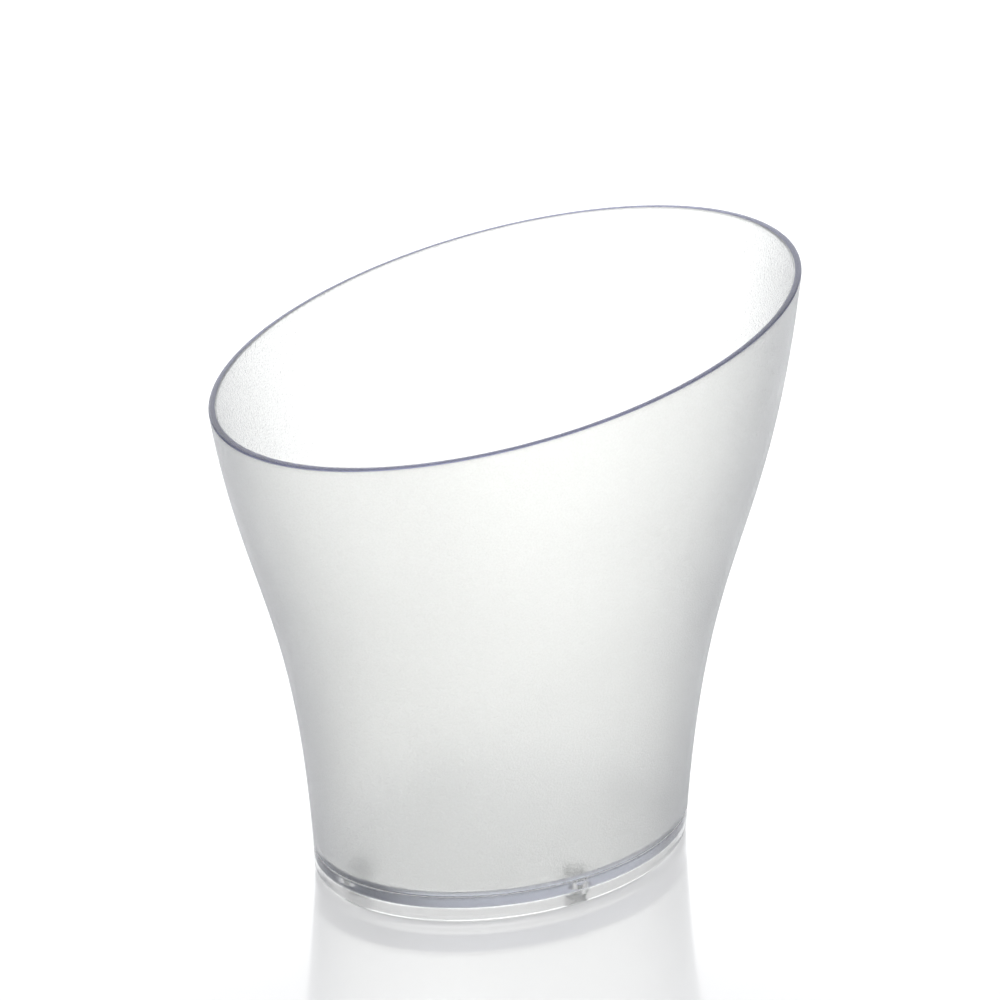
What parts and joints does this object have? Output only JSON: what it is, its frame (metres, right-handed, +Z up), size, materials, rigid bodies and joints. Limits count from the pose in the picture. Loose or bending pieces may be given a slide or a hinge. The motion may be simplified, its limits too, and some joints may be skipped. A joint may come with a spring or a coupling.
{
  "type": "champagne bucket",
  "caption": "Free-standing oval champagne bucket with a flared frosted clear wall, a slanted rim and a clear base on push-in feet.",
  "frame": {"origin": "on the table, in the plane of the feet, under the middle of the whole outline, 3 mm to the high side of the middle of the oval base", "axes": "+Z up, +X along the long axis of the oval towards the high side of the rim, +Y across it"},
  "size_m": [0.2853, 0.216, 0.2832],
  "materials": {
    "frosted_clear_plastic": "frosted, with a polished rim",
    "polished_clear_plastic": "clear and polished",
    "clear_soft_rubber": "satin clear"
  },
  "bodies": {
    "root": {"bucket_wall": "frosted_clear_plastic", "base_plate": "polished_clear_plastic", "foot_right": "clear_soft_rubber", "foot_back": "clear_soft_rubber", "foot_left": "clear_soft_rubber", "foot_front": "clear_soft_rubber"}
  },
  "joints": []
}
